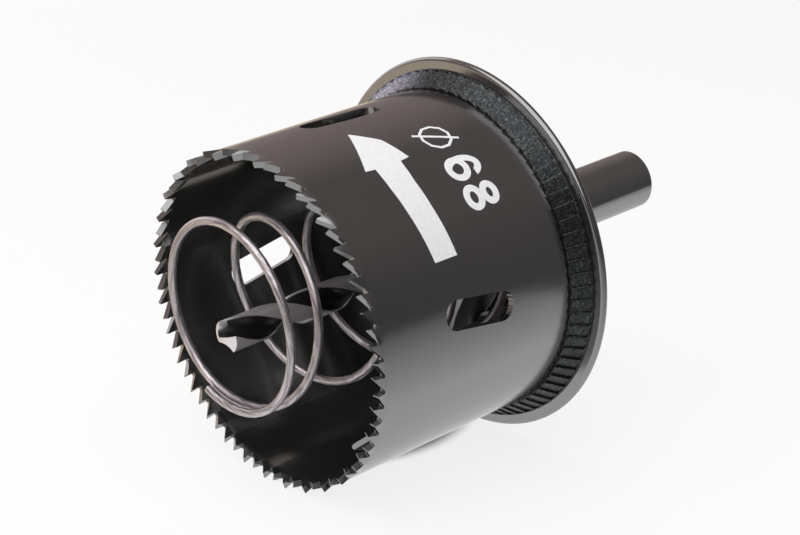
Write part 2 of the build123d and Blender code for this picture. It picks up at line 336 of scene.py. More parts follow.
def named(name):
    """The new active object, under its piece's name."""
    piece = bpy.context.active_object
    piece.name = piece.data.name = name
    return piece


def edit(piece):
    """Enters edit mode on one piece alone."""
    deselect_all()
    piece.select_set(True)
    bpy.context.view_layer.objects.active = piece
    bpy.ops.object.mode_set(mode="EDIT")


def leave_edit():
    """Back to object mode."""
    bpy.ops.object.mode_set(mode="OBJECT")


def pick(piece, kind, test):
    """In edit mode, selects the vertices, edges or faces whose middle passes a test."""
    bpy.ops.mesh.select_mode(type=kind)
    bpy.ops.mesh.select_all(action="DESELECT")
    shape = bmesh.from_edit_mesh(piece.data)
    shape.normal_update()
    if kind == "VERT":
        for vert in shape.verts:
            vert.select_set(test(vert.co))
    elif kind == "EDGE":
        for one in shape.edges:
            one.select_set(test(one))
    else:
        for face in shape.faces:
            face.select_set(test(face))
    shape.select_flush_mode()
    bmesh.update_edit_mesh(piece.data)


def clean(piece):
    """In edit mode, merges doubles and turns the faces outwards."""
    bpy.ops.mesh.select_mode(type="VERT")
    bpy.ops.mesh.select_all(action="SELECT")
    bpy.ops.mesh.remove_doubles(threshold=MERGE_DISTANCE)
    bpy.ops.mesh.normals_make_consistent(inside=False)


def chain(name, points):
    """A chain of edges through the points, drawn by extruding one vertex, left in edit mode."""
    points = [Vector(point) for point in points]
    deselect_all()
    bpy.ops.mesh.primitive_plane_add(size=0.001)
    piece = named(name)
    edit(piece)
    bpy.ops.mesh.select_mode(type="VERT")
    bpy.ops.mesh.select_all(action="SELECT")
    bpy.ops.mesh.merge(type="CENTER")
    bpy.ops.transform.translate(value=points[0])
    for before, after in zip(points, points[1:]):
        bpy.ops.mesh.extrude_vertices_move(TRANSFORM_OT_translate={"value": after - before})
    return piece


def turned(name, profile, steps):
    """A profile of (radius, height) points spun about Z, closed and facing outwards."""
    piece = chain(name, [(radius, 0, height) for radius, height in profile])
    bpy.ops.mesh.select_all(action="SELECT")
    bpy.ops.mesh.spin(steps=steps, angle=FULL_TURN, center=(0, 0, 0), axis=(0, 0, 1))
    clean(piece)
    leave_edit()
    return piece


def apply_modifier(piece, kind, **settings):
    """Adds one modifier to a piece and applies it."""
    deselect_all()
    piece.select_set(True)
    bpy.context.view_layer.objects.active = piece
    modifier = piece.modifiers.new(kind.title(), kind)
    for key, value in settings.items():
        setattr(modifier, key, value)
    bpy.ops.object.modifier_apply(modifier=modifier.name)


def cut(piece, cutter, operation="DIFFERENCE"):
    """Cuts, joins or trims one piece with another, which is used up."""
    apply_modifier(piece, "BOOLEAN", operation=operation, object=cutter, solver="EXACT")
    bpy.data.objects.remove(cutter, do_unlink=True)


def bevel(piece, width, segments=2, angle=radians(32)):
    """Rounds the edges that are sharper than an angle."""
    apply_modifier(
        piece, "BEVEL", width=width, segments=segments, limit_method="ANGLE", angle_limit=angle,
        use_clamp_overlap=True, miter_outer="MITER_ARC",
    )


def smooth(piece, angle=radians(50)):
    """Smooth shading between shallow edges, weighted so that large faces stay flat."""
    deselect_all()
    piece.select_set(True)
    bpy.context.view_layer.objects.active = piece
    bpy.ops.object.shade_smooth_by_angle(angle=angle)
    apply_modifier(piece, "WEIGHTED_NORMAL", keep_sharp=True, weight=50)


def seat(piece, finish, node=None):
    """Lays a finished piece down, gives it its finish and puts it on the object."""
    leave = bpy.context.mode != "OBJECT"
    if leave:
        leave_edit()
    piece.data.transform(laid_down())
    piece.data.materials.clear()
    piece.data.materials.append(finish)
    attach(piece, "root")
    if node:
        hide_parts(node)
    return piece


def wrap(piece, radius):
    """Bends a flat piece, whose X runs round and Z along, about the tool's axis; -Y turns outwards."""
    xs = [vert.co.x for vert in piece.data.vertices]
    apply_modifier(
        piece, "SIMPLE_DEFORM", deform_method="BEND", deform_axis="Z", angle=(max(xs) - min(xs)) / radius
    )
    piece.data.transform(Matrix.Rotation(pi / 2, 4, "Z") @ Matrix.Translation((0, -radius, 0)))


# ---- Shader maths ----

class Value:
    """A socket that adds its Math node when it is used in an expression."""

    def __init__(self, finish, socket):
        self.finish, self.socket = finish, socket

    def math(self, operation, first, second):
        return self.finish.node("ShaderNodeMath", {"operation": operation}, {0: first, 1: second})

    def __add__(self, other):
        return self.math("ADD", self, other)

    def __sub__(self, other):
        return self.math("SUBTRACT", self, other)

    def __rsub__(self, other):
        return self.math("SUBTRACT", other, self)

    def __mul__(self, other):
        return self.math("MULTIPLY", self, other)

    def __truediv__(self, other):
        return self.math("DIVIDE", self, other)

    def __rtruediv__(self, other):
        return self.math("DIVIDE", other, self)

    def __gt__(self, other):
        return self.math("GREATER_THAN", self, other)

    def __lt__(self, other):
        return self.math("LESS_THAN", self, other)

    __radd__ = __add__
    __rmul__ = __mul__


class Finish:
    """A procedural material on one Principled BSDF."""

    def __init__(self, name):
        self.material = bpy.data.materials.new(name)
        self.material.use_nodes = True
        self.tree = self.material.node_tree
        self.shader = self.tree.nodes["Principled BSDF"]

    def node(self, kind, settings=None, inputs=None, output=0):
        """Adds a node; its settings are set first, then its sockets are given values or links."""
        made = self.tree.nodes.new(kind)
        for key, value in (settings or {}).items():
            if key == "stops":
                ramp = made.color_ramp
                for index, (place, tint) in enumerate(value):
                    stop = ramp.elements[index] if index < 2 else ramp.elements.new(place)
                    stop.position, stop.color = place, tint
            else:
                setattr(made, key, value)
        for key, value in (inputs or {}).items():
            if isinstance(value, Value):
                self.tree.links.new(value.socket, made.inputs[key])
            else:
                made.inputs[key].default_value = value
        return Value(self, made.outputs[output])

    def tool_place(self):
        """Object coordinates turned back to the tool's own axis, in metres."""
        laid = laid_down()
        here = self.node("ShaderNodeTexCoord", output="Object")
        return self.node(
            "ShaderNodeMapping",
            {"vector_type": "TEXTURE"},
            {"Vector": here, "Location": laid.translation, "Rotation": laid.to_euler()},
        )

    def noise(self, place, scale, detail=3.0, roughness=0.5):
        """Soft noise from 0 to 1."""
        return self.node(
            "ShaderNodeTexNoise", {"noise_dimensions": "3D"},
            {"Vector": place, "Scale": scale, "Detail": detail, "Roughness": roughness},
        )

    def part(self, place, letter):
        """One coordinate of a place."""
        return self.node("ShaderNodeSeparateXYZ", None, {0: place}, letter)

    def vector(self, operation, inputs, output=0):
        """One step of vector maths."""
        return self.node("ShaderNodeVectorMath", {"operation": operation}, inputs, output)

    def ramp(self, value, low, high):
        """0 below low, 1 above high and even between them."""
        return self.node(
            "ShaderNodeMapRange", {"interpolation_type": "SMOOTHSTEP"},
            {"Value": value, "From Min": low, "From Max": high},
        )

    def mix(self, factor, first, second):
        """A colour between two."""
        return self.node(
            "ShaderNodeMix", {"data_type": "RGBA"}, {0: factor, 6: first, 7: second}, output=2
        )

    def bump(self, height, distance, strength=1.0):
        """A bumped normal."""
        return self.node(
            "ShaderNodeBump", None, {"Height": height, "Distance": distance, "Strength": strength}
        )

    def set(self, **inputs):
        """Sets or links the shader's sockets; a name's underscores stand for spaces."""
        for key, value in inputs.items():
            socket = self.shader.inputs[key.replace("_", " ")]
            if isinstance(value, Value):
                self.tree.links.new(value.socket, socket)
            else:
                socket.default_value = value
        return self.material


class Studio(Finish):
    """The world's nodes, built with the same few calls."""

    def __init__(self, name):
        self.material = bpy.data.worlds.new(name)
        self.material.use_nodes = True
        self.tree = self.material.node_tree
        self.shader = self.tree.nodes["Background"]


def rgba(tint):
    """A colour property as the four numbers of a colour socket."""
    return (*tint, 1.0)


def tools_axes(finish, place):
    """(distance from the axis, height along it) in metres."""
    flat = finish.vector("MULTIPLY", {0: place, 1: (1, 1, 0)})
    return finish.vector("LENGTH", {0: flat}, "Value"), finish.part(place, "Z")


def lacquer(name):
    """Black gloss lacquer with a faint orange peel, dust and rubbed spots."""
    finish = Finish(name)
    colours = bpy.context.scene.hole_saw.colours
    place = finish.tool_place()
    cloud = finish.noise(place, 60, 4)
    fine = finish.noise(place, 900, 2)
    rubbed = finish.ramp(finish.noise(place, 2600, 2), 0.70, 0.80)
    base = finish.mix(cloud * 0.6, rgba(colours.lacquer), rgba([tint * 1.9 for tint in colours.lacquer]))
    base = finish.mix(rubbed * 0.10, base, (0.10, 0.10, 0.11, 1))
    radius, _ = tools_axes(finish, place)
    outside = finish.ramp(radius, *CUP_INSIDE)
    base = finish.mix(outside, rgba(colours.inside), base)
    roughness = 0.13 + cloud * 0.05 + rubbed * 0.10
    bump = finish.bump(finish.noise(place, 450, 2) + fine * 0.3, 0.000004)
    return finish.set(
        Base_Color=base, Roughness=roughness, IOR=LACQUER_IOR, Normal=bump, Specular_IOR_Level=0.5,
    )


def blackened(name):
    """Granular blackened steel, with a highlight painted on one side of the tool."""
    finish = Finish(name)
    colours = bpy.context.scene.hole_saw.colours
    place = finish.tool_place()
    # Painted highlight: the steel is made lighter and bluer on one side of the tool, with a ragged edge.
    light = finish.ramp(finish.part(place, "Y") + finish.noise(place, 200, 2) * 0.008, *RING_PAINTED_HIGHLIGHT)
    grain = finish.noise(place, 2200, 5, 0.7)
    cloud = finish.noise(place, 300, 3)
    sparkle = finish.ramp(grain, 0.45, 0.75)
    tint = finish.mix(light, rgba(colours.blackened), rgba(colours.painted_highlight))
    base = finish.vector("SCALE", {0: tint, "Scale": 0.6 + sparkle * 2.2})
    return finish.set(
        Base_Color=base, Metallic=1.0, Roughness=0.26 + cloud * 0.2, Normal=finish.bump(grain, 0.00006),
    )


def wire_steel(name):
    """Drawn spring wire with faint dark streaks."""
    finish = Finish(name)
    tint = bpy.context.scene.hole_saw.colours.wire
    place = finish.tool_place()
    radius, height = tools_axes(finish, place)
    across = finish.node("ShaderNodeCombineXYZ", None, {0: radius, 1: height})
    along = finish.vector("SCALE", {0: place, "Scale": 0.06})
    streaks = finish.noise(finish.vector("ADD", {0: across, 1: along}), 2400, 3)
    cloud = finish.noise(place, 160, 2)
    dark, light = rgba([part * 0.62 for part in tint]), rgba([part * 1.3 for part in tint])
    base = finish.mix(finish.ramp(streaks, 0.35, 0.65), dark, light)
    return finish.set(
        Base_Color=base, Metallic=0.8, Roughness=0.24 + streaks * 0.12 + cloud * 0.06,
        Normal=finish.bump(streaks, 0.00003),
    )


def drill_steel(name):
    """Ground high speed steel: bright lands and dark flutes."""
    finish = Finish(name)
    colours = bpy.context.scene.hole_saw.colours
    place = finish.tool_place()
    radius, height = tools_axes(finish, place)
    facing = finish.node("ShaderNodeNewGeometry", output="Normal")
    axis = laid_down().to_3x3() @ Vector((0, 0, -1))
    forward = finish.vector("DOT_PRODUCT", {0: facing, 1: axis}, "Value")
    ground = finish.ramp(forward, *GROUND_FACING) * (height < GROUND_BACK)
    bright = ground.math("MAXIMUM", finish.ramp(radius, *DRILL_LAND), ground)
    grain = finish.noise(place, 1500, 3)
    base = finish.mix(bright, rgba(colours.flute), rgba(colours.drill))
    return finish.set(
        Base_Color=base, Metallic=0.78, Roughness=0.24 + grain * 0.12, Normal=finish.bump(grain, 0.000006),
    )


def plated(name):
    """Zinc plated steel."""
    finish = Finish(name)
    tint = bpy.context.scene.hole_saw.colours.plated
    place = finish.tool_place()
    cloud = finish.noise(place, 400, 3)
    base = finish.mix(cloud, rgba([part * 0.8 for part in tint]), rgba(tint))
    return finish.set(
        Base_Color=base, Metallic=1.0, Roughness=0.3 + cloud * 0.15, Normal=finish.bump(cloud, 0.00001),
    )


def printed(name):
    """Matt white screen print."""
    finish = Finish(name)
    tint = bpy.context.scene.hole_saw.colours.print_white
    place = finish.tool_place()
    grain = finish.noise(place, 1800, 3)
    base = finish.mix(finish.ramp(grain, 0.3, 0.6), rgba([part * 0.93 for part in tint]), rgba(tint))
    return finish.set(Base_Color=base, Roughness=0.55 + grain * 0.1, Normal=finish.bump(grain, 0.000008))


# ---- Pieces ----

class HOLESAW_OT_cup(bpy.types.Operator):
    """Adds the saw cup with its set teeth and chip slots"""
    bl_idname = "hole_saw.cup"
    bl_label = "Saw cup"

    def execute(self, context):
        sizes = context.scene.hole_saw.cup
        middle = (sizes.diameter - sizes.wall) / 2
        spacing = FULL_TURN * middle / (2 * sizes.tooth_pairs)
        face_root = sizes.tooth_height * tan(sizes.tooth_hook)
        back_root = spacing + face_root - sizes.gullet
        wall_end = sizes.depth - sizes.corner

        # The roots of two teeth in a row, each in three steps, from the middle of one gullet to another.
        line = [face_root - sizes.gullet / 2]
        for tooth in range(2):
            line += [tooth * spacing + face_root + (back_root - face_root) * step / 3 for step in range(4)]
        line.append(line[0] + 2 * spacing)
        piece = chain("saw_cup_dressed", [(place, 0, sizes.tooth_height) for place in line])
        rows = (0, 0.0012, 0.008, 0.017, wall_end - sizes.tooth_height)
        for before, after in zip(rows, rows[1:]):
            height = sizes.tooth_height + before
            pick(piece, "EDGE", lambda one: all(abs(v.co.z - height) < 1e-7 for v in one.verts))
            bpy.ops.mesh.extrude_edges_move(TRANSFORM_OT_translate={"value": (0, 0, after - before)})
        # Each tooth is drawn out of its three root edges and drawn together to its tip.
        for tooth in range(2):
            low, high = tooth * spacing + face_root - 1e-6, tooth * spacing + back_root + 1e-6
            pick(piece, "EDGE", lambda one: all(
                low < v.co.x < high and abs(v.co.z - sizes.tooth_height) < 1e-7 for v in one.verts
            ))
            tip_scale = sizes.tip_land / (back_root - face_root)
            side = -1 if tooth == 0 else 1
            bpy.ops.mesh.extrude_edges_move(TRANSFORM_OT_translate={
                "value": (-face_root, side * sizes.tooth_set, -sizes.tooth_height)
            })
            bpy.ops.transform.resize(
                value=(tip_scale, 1, 1), center_override=(tooth * spacing, side * sizes.tooth_set, 0)
            )
        clean(piece)
        leave_edit()
        apply_modifier(
            piece, "ARRAY", count=sizes.tooth_pairs, use_relative_offset=False, use_constant_offset=True,
            constant_offset_displace=(2 * spacing, 0, 0), use_merge_vertices=True,
            merge_threshold=MERGE_DISTANCE,
        )
        edit(piece)
        clean(piece)
        # The sheet's faces look to -Y, which the bend turns outwards.
        shape = bmesh.from_edit_mesh(piece.data)
        if sum(face.normal.y for face in shape.faces) > 0:
            bpy.ops.mesh.flip_normals()
        leave_edit()
        apply_modifier(piece, "SOLIDIFY", thickness=sizes.wall, offset=0, use_even_offset=True)

        # Slots
        circumference = FULL_TURN * middle
        for index in range(sizes.slot_count):
            place = (sizes.slot_angle + index * FULL_TURN / sizes.slot_count) * middle
            place = line[0] + (place - line[0]) % circumference
            deselect_all()
            bpy.ops.mesh.primitive_plane_add(size=1)
            cutter = named("slot_cutter")
            edit(cutter)
            bpy.ops.mesh.select_all(action="SELECT")
            bpy.ops.transform.resize(value=(sizes.slot_width, sizes.slot_length, 1))
            bpy.ops.mesh.bevel(offset=sizes.slot_corner, segments=8, affect="VERTICES")
            bpy.ops.mesh.extrude_region_move(TRANSFORM_OT_translate={"value": (0, 0, 6 * sizes.wall)})
            clean(cutter)
            leave_edit()
            cutter.data.transform(
                Matrix.Translation((place, 0, sizes.slot_centre))
                @ Matrix.Rotation(sizes.slot_slant, 4, "Y")
                @ Matrix.Rotation(pi / 2, 4, "X")
                @ Matrix.Translation((0, 0, -3 * sizes.wall))
            )
            cut(piece, cutter)

        # The two ends of the strip and its back rim are opened, to be joined after the bend.
        edit(piece)
        ends = (line[0], line[0] + circumference)
        pick(piece, "FACE", lambda face: (
            abs(face.normal.x) > 0.99 and any(abs(face.calc_center_median().x - end) < 1e-6 for end in ends)
            or face.normal.z > 0.99 and abs(face.calc_center_median().z - wall_end) < 1e-6
        ))
        bpy.ops.mesh.delete(type="FACE")
        leave_edit()
        bevel(piece, sizes.edge)
        wrap(piece, middle)

        # Corner and base, drawn on from the wall's outer and inner rims and joined round the hole.
        edit(piece)
        clean(piece)
        corner_steps = 6
        outside = sizes.diameter / 2
        for rim, small, floor in (
            (outside, sizes.corner, sizes.depth),
            (outside - sizes.wall, sizes.corner - sizes.wall, sizes.depth - sizes.base),
        ):
            pick(piece, "EDGE", lambda one: all(
                abs(v.co.z - wall_end) < 1e-6 and abs(hypot(v.co.x, v.co.y) - rim) < 2e-5 for v in one.verts
            ))
            height, radius = wall_end, rim
            steps = []
            start = floor - small
            if abs(start - wall_end) > 1e-6:
                steps.append((rim, start))
            for step in range(1, corner_steps + 1):
                bend = pi / 2 * step / corner_steps
                steps.append((rim - small + small * cos(bend), start + small * sin(bend)))
            steps.append((rim * 0.6, floor))
            steps.append((sizes.hole / 2, floor))
            for next_radius, next_height in steps:
                rise = (0, 0, next_height - height)
                bpy.ops.mesh.extrude_edges_move(TRANSFORM_OT_translate={"value": rise})
                bpy.ops.transform.resize(
                    value=(next_radius / radius, next_radius / radius, 1), center_override=(0, 0, next_height)
                )
                height, radius = next_height, next_radius
        # Known fault: the slot nearest the seam leaves corners on one of its sides only, so part of the seam
        # stays open. The bridge takes those edges in too, and draws faces across the inside of the cup.
        pick(piece, "EDGE", lambda one: len(one.link_faces) == 1)
        bpy.ops.mesh.bridge_edge_loops()
        clean(piece)
        leave_edit()
        smooth(piece)
        seat(piece, lacquer("cup_lacquer"), "saw_cup")
        return {"FINISHED"}


class HOLESAW_OT_ring(bpy.types.Operator):
    """Adds the countersinking ring with its serrated cone"""
    bl_idname = "hole_saw.ring"
    bl_label = "Countersinking ring"

    def execute(self, context):
        sizes = context.scene.hole_saw.ring
        pitch = FULL_TURN / sizes.serrations
        ridge = sizes.back - sizes.rim
        front = ridge - sizes.cone_height
        cone_inner = sizes.inner + sizes.land
        cone_outer = cone_inner + sizes.cone_width
        profile = [
            (sizes.inner, front), (cone_inner, front), (cone_outer, ridge), (cone_outer, sizes.back),
            (sizes.inner, sizes.back), (sizes.inner, front),
        ]
        early = -0.1 * pitch
        piece = chain("countersink_ring_dressed", [(radius, 0, height) for radius, height in profile])
        clean(piece)
        bpy.ops.mesh.edge_face_add()
        leave_edit()
        # Spin turns clockwise, so the sector starts from its later side.
        piece.data.transform(Matrix.Rotation(early + pitch, 4, "Z"))
        edit(piece)
        bpy.ops.mesh.select_all(action="SELECT")
        bpy.ops.mesh.spin(steps=4, angle=pitch, center=(0, 0, 0), axis=(0, 0, 1))
        clean(piece)
        leave_edit()

        # One serration, ratchet-shaped across and as long as the cone's slant, less a margin at the ridge.
        slant = hypot(sizes.cone_width, sizes.cone_height)
        along = Vector((sizes.cone_width, 0, sizes.cone_height)) / slant
        inward = Vector((-sizes.cone_height, 0, sizes.cone_width)) / slant
        depth, width = sizes.serration_depth, sizes.serration_width
        start = Vector((cone_inner, 0, front)) - along * 2 * depth
        cutter = chain("serration_cutter", [
            start + Vector((0, 1e-6, 0)),
            start + Vector((0, width, 0)) + inward * depth,
            start + Vector((0, width, 0)) - inward * depth,
            start + Vector((0, 1e-6, 0)) - inward * depth,
            start + Vector((0, 1e-6, 0)),
        ])
        clean(cutter)
        bpy.ops.mesh.edge_face_add()
        bpy.ops.mesh.extrude_region_move(TRANSFORM_OT_translate={
            "value": along * (2 * depth + slant - sizes.serration_margin)
        })
        clean(cutter)
        leave_edit()
        cut(piece, cutter)
        edit(piece)
        side_normals = []
        for direction in (early, early + pitch):
            side_normals.append(Vector((-sin(direction), cos(direction), 0)))
        pick(piece, "FACE", lambda face: any(
            abs(abs(face.normal.dot(normal)) - 1) < 1e-4 and abs(face.calc_center_median().dot(normal)) < 1e-6
            for normal in side_normals
        ))
        bpy.ops.mesh.delete(type="FACE")
        bpy.ops.mesh.select_all(action="SELECT")
        bpy.ops.mesh.spin(
            steps=sizes.serrations, angle=FULL_TURN, center=(0, 0, 0), axis=(0, 0, 1), dupli=True
        )
        clean(piece)
        leave_edit()
        bevel(piece, sizes.edge, segments=1)
        smooth(piece, radians(35))
        seat(piece, blackened("ring_blackened"), "countersink_ring")
        return {"FINISHED"}


class HOLESAW_OT_flange(bpy.types.Operator):
    """Adds the stop flange with its rounded rim"""
    bl_idname = "hole_saw.flange"
    bl_label = "Stop flange"

    def execute(self, context):
        sizes = context.scene.hole_saw.flange
        rim = sizes.diameter / 2
        back = sizes.front + sizes.thickness
        hole = sizes.hole / 2
        piece = turned("stop_flange_dressed", [
            (hole, sizes.front), (rim, sizes.front), (rim, back), (hole, back), (hole, sizes.front),
        ], 288)
        edit(piece)
        pick(piece, "EDGE", lambda one: all(abs(hypot(v.co.x, v.co.y) - rim) < 1e-6 for v in one.verts)
             and abs(one.verts[0].co.z - one.verts[1].co.z) < 1e-6)
        bpy.ops.mesh.bevel(offset=sizes.rim, segments=8, affect="EDGES")
        leave_edit()
        bevel(piece, 0.00015)
        smooth(piece)
        seat(piece, lacquer("flange_lacquer"), "stop_flange")
        return {"FINISHED"}


def hexagon(name, flats, front, back, chamfer_angle):
    """A hexagonal bar between two heights with its corners turned off at both ends."""
    corner = flats / sqrt(3)
    drop = (corner - flats / 2) * tan(chamfer_angle)
    deselect_all()
    bpy.ops.mesh.primitive_cylinder_add(vertices=6, radius=corner, depth=back - front)
    piece = named(name)
    piece.data.transform(Matrix.Translation((0, 0, (front + back) / 2)))
    envelope = turned("corner_envelope", [
        (0, front), (flats / 2, front), (corner * 1.0001, front + drop), (corner * 1.0001, back - drop),
        (flats / 2, back), (0, back),
    ], 96)
    cut(piece, envelope, "INTERSECT")
    return piece


def rod(name, radius, front, back, steps=48):
    """A plain round rod to cut or join with."""
    return turned(name, [(0, front), (radius, front), (radius, back), (0, back)], steps)


class HOLESAW_OT_arbor(bpy.types.Operator):
    """Adds the arbor with its collar, nose and shank"""
    bl_idname = "hole_saw.arbor"
    bl_label = "Arbor"

    def execute(self, context):
        saw = context.scene.hole_saw
        sizes = saw.arbor
        collar_back = sizes.collar_front + sizes.collar_height
        nose, shank = sizes.nose / 2, sizes.shank / 2
        piece = turned("arbor_dressed", [
            (0, sizes.nose_end), (nose - sizes.nose_chamfer, sizes.nose_end),
            (nose, sizes.nose_end + sizes.nose_chamfer), (nose, sizes.collar_front + 0.001),
            (shank, sizes.collar_front + 0.001), (shank, sizes.end - sizes.chamfer),
            (shank - sizes.chamfer, sizes.end), (0, sizes.end),
        ], 96)
        collar = hexagon(
            "collar", sizes.collar_flats, sizes.collar_front, collar_back, saw.fasteners.chamfer_angle
        )
        cut(piece, collar, "UNION")
        bore_end = sizes.nose_end + sizes.bore_depth
        cut(piece, rod("drill_bore", sizes.bore / 2, sizes.nose_end - 0.001, bore_end))
        screw_hole = rod("screw_hole", sizes.screw_hole / 2, 0, sizes.collar_flats)
        screw_hole.data.transform(
            Matrix.Translation((0, 0, sizes.screw_height)) @ Matrix.Rotation(pi / 2, 4, "Y")
        )
        cut(piece, screw_hole)
        bevel(piece, 0.00012)
        smooth(piece)
        seat(piece, lacquer("arbor_lacquer"), "arbor")
        return {"FINISHED"}


class HOLESAW_OT_fasteners(bpy.types.Operator):
    """Adds the lock nut, its washer and the set screw"""
    bl_idname = "hole_saw.fasteners"
    bl_label = "Fasteners"

    def execute(self, context):
        saw = context.scene.hole_saw
        sizes = saw.fasteners
        finish = plated("zinc_plate")
        nut_back = sizes.nut_front + sizes.nut_height
        nut = hexagon("lock_nut_dressed", sizes.nut_flats, sizes.nut_front, nut_back, sizes.chamfer_angle)
        cut(nut, rod("nut_bore", sizes.nut_bore / 2, sizes.nut_front - 0.001, nut_back + 0.001))
        bevel(nut, 0.00015)
        smooth(nut)
        seat(nut, finish, "lock_nut")

        hole, rim = sizes.washer_hole / 2, sizes.washer / 2
        washer = turned("washer_dressed", [
            (hole, nut_back), (rim, nut_back), (rim, nut_back + sizes.washer_thickness),
            (hole, nut_back + sizes.washer_thickness), (hole, nut_back),
        ], 96)
        bevel(washer, 0.00012)
        smooth(washer)
        seat(washer, finish, "washer")

        screw = rod("set_screw_dressed", sizes.screw / 2, 0, sizes.screw_length)
        edit(screw)
        pick(screw, "EDGE", lambda one: all(hypot(v.co.x, v.co.y) > sizes.screw * 0.49 for v in one.verts)
             and abs(one.verts[0].co.z - one.verts[1].co.z) < 1e-7)
        bpy.ops.mesh.bevel(offset=0.0006, segments=1, affect="EDGES")
        leave_edit()
        deselect_all()
        bpy.ops.mesh.primitive_cylinder_add(
            vertices=6, radius=sizes.socket / sqrt(3), depth=2 * sizes.socket_depth,
            location=(0, 0, sizes.screw_length),
        )
        cut(screw, named("socket"))
        screw.data.transform(
            Matrix.Translation((sizes.screw_seat, 0, saw.arbor.screw_height))
            @ Matrix.Rotation(pi / 2, 4, "Y")
        )
        bevel(screw, 0.00008)
        smooth(screw)
        seat(screw, finish, "set_screw")
        return {"FINISHED"}


class HOLESAW_OT_drill(bpy.types.Operator):
    """Adds the pilot drill with its twisted flutes and ground point"""
    bl_idname = "hole_saw.drill"
    bl_label = "Pilot drill"

    def execute(self, context):
        sizes = context.scene.hole_saw.drill
        radius = sizes.diameter / 2
        offset = sizes.web / 2 + sizes.flute
        # A thin disc with two round bites gives the section; the rest of it is deleted.
        section = rod("pilot_drill_dressed", radius, -0.001, 0, 96)
        for side in (1, -1):
            bite = rod("flute_cutter", sizes.flute, -0.002, 0.001, 64)
            bite.data.transform(Matrix.Translation((0, side * offset, 0)))
            cut(section, bite)
        edit(section)
        pick(section, "FACE", lambda face: (
            face.normal.z <= 0.99 or abs(face.calc_center_median().z) >= 1e-6
        ))
        bpy.ops.mesh.delete(type="FACE")
        pick(section, "FACE", lambda face: True)
        bpy.ops.mesh.dissolve_limited(angle_limit=0.001)
        leave_edit()
        tip = -sizes.proud
        start = sizes.land_angle + FULL_TURN * tip / sizes.lead
        section.data.transform(Matrix.Translation((0, 0, tip)) @ Matrix.Rotation(start, 4, "Z"))
        apply_modifier(
            section, "SCREW", angle=FULL_TURN * sizes.fluted / sizes.lead, screw_offset=sizes.fluted,
            steps=120, render_steps=120, axis="Z", use_merge_vertices=False, use_smooth_shade=True,
        )
        edit(section)
        clean(section)
        # Close both ends.
        bpy.ops.mesh.select_mode(type="EDGE")
        pick(section, "EDGE", lambda one: len(one.link_faces) == 1)
        bpy.ops.mesh.edge_face_add()
        clean(section)
        leave_edit()
        point_height = radius / tan(sizes.point / 2)
        envelope = turned("point_envelope", [
            (0, tip), (radius * 2, tip + point_height * 2), (radius * 2, sizes.back), (0, sizes.back),
        ], 96)
        cut(section, envelope, "INTERSECT")
        cut(section, rod("plain_shank", radius, tip + sizes.fluted, sizes.back, 96), "UNION")
        smooth(section, radians(40))
        seat(section, drill_steel("ground_drill_steel"), "pilot_drill")
        return {"FINISHED"}


class HOLESAW_OT_spring(bpy.types.Operator):
    """Adds the ejector spring"""
    bl_idname = "hole_saw.spring"
    bl_label = "Ejector spring"

    def execute(self, context):
        sizes = context.scene.hole_saw.spring
        wire = sizes.wire / 2
        closed_rise = sizes.wire + sizes.closed_gap
        first, last = sizes.front + wire, sizes.back - wire
        closed_part = sizes.front_closed + sizes.rear_closed + sizes.blend_turns
        open_turns = (last - first - closed_part * closed_rise) / sizes.pitch
        all_turns = closed_part + open_turns

        def opened(turns):
            """How far a coil has opened some turns after it stops being closed."""
            if turns <= 0:
                return 0
            if turns < sizes.blend_turns:
                return turns * turns / (2 * sizes.blend_turns)
            return turns - sizes.blend_turns / 2

        steps = round(all_turns * 48)
        points = []
        for index in range(steps + 1):
            turns = all_turns * index / steps
            after_closed = turns - sizes.front_closed
            spread = opened(after_closed) - opened(after_closed - open_turns)
            height = first + closed_rise * turns + (sizes.pitch - closed_rise) * spread
            freedom = max((last - height) / (last - first), 0) ** sizes.taper
            coil = (sizes.rear_coil + (sizes.front_coil - sizes.rear_coil) * freedom) / 2
            angle = sizes.end_angle - FULL_TURN * turns
            lean = sizes.lean * freedom
            points.append((
                coil * cos(angle) + lean * cos(sizes.lean_angle),
                coil * sin(angle) + lean * sin(sizes.lean_angle),
                height,
            ))
        deselect_all()
        bpy.ops.curve.primitive_nurbs_path_add()
        piece = named("ejector_spring_dressed")
        line = piece.data
        line.splines.clear()
        path = line.splines.new("POLY")
        path.points.add(len(points) - 1)
        for point, place in zip(path.points, points):
            point.co = (*place, 1)
        line.bevel_depth = wire
        line.bevel_resolution = 5
        line.use_fill_caps = True
        bpy.ops.object.convert(target="MESH")
        piece = named("ejector_spring_dressed")
        edit(piece)
        clean(piece)
        leave_edit()
        bevel(piece, 0.00018, angle=radians(60))
        smooth(piece)
        seat(piece, wire_steel("drawn_wire"), "ejector_spring")
        return {"FINISHED"}


def cut_in_columns(piece, step):
    """In edit mode, divides a flat piece by planes across X, so that it can be bent."""
    xs = [vert.co.x for vert in bmesh.from_edit_mesh(piece.data).verts]
    place = min(xs) + step
    while place < max(xs) - step / 10:
        bpy.ops.mesh.select_all(action="SELECT")
        bpy.ops.mesh.bisect(plane_co=(place, 0, 0), plane_no=(1, 0, 0))
        place += step


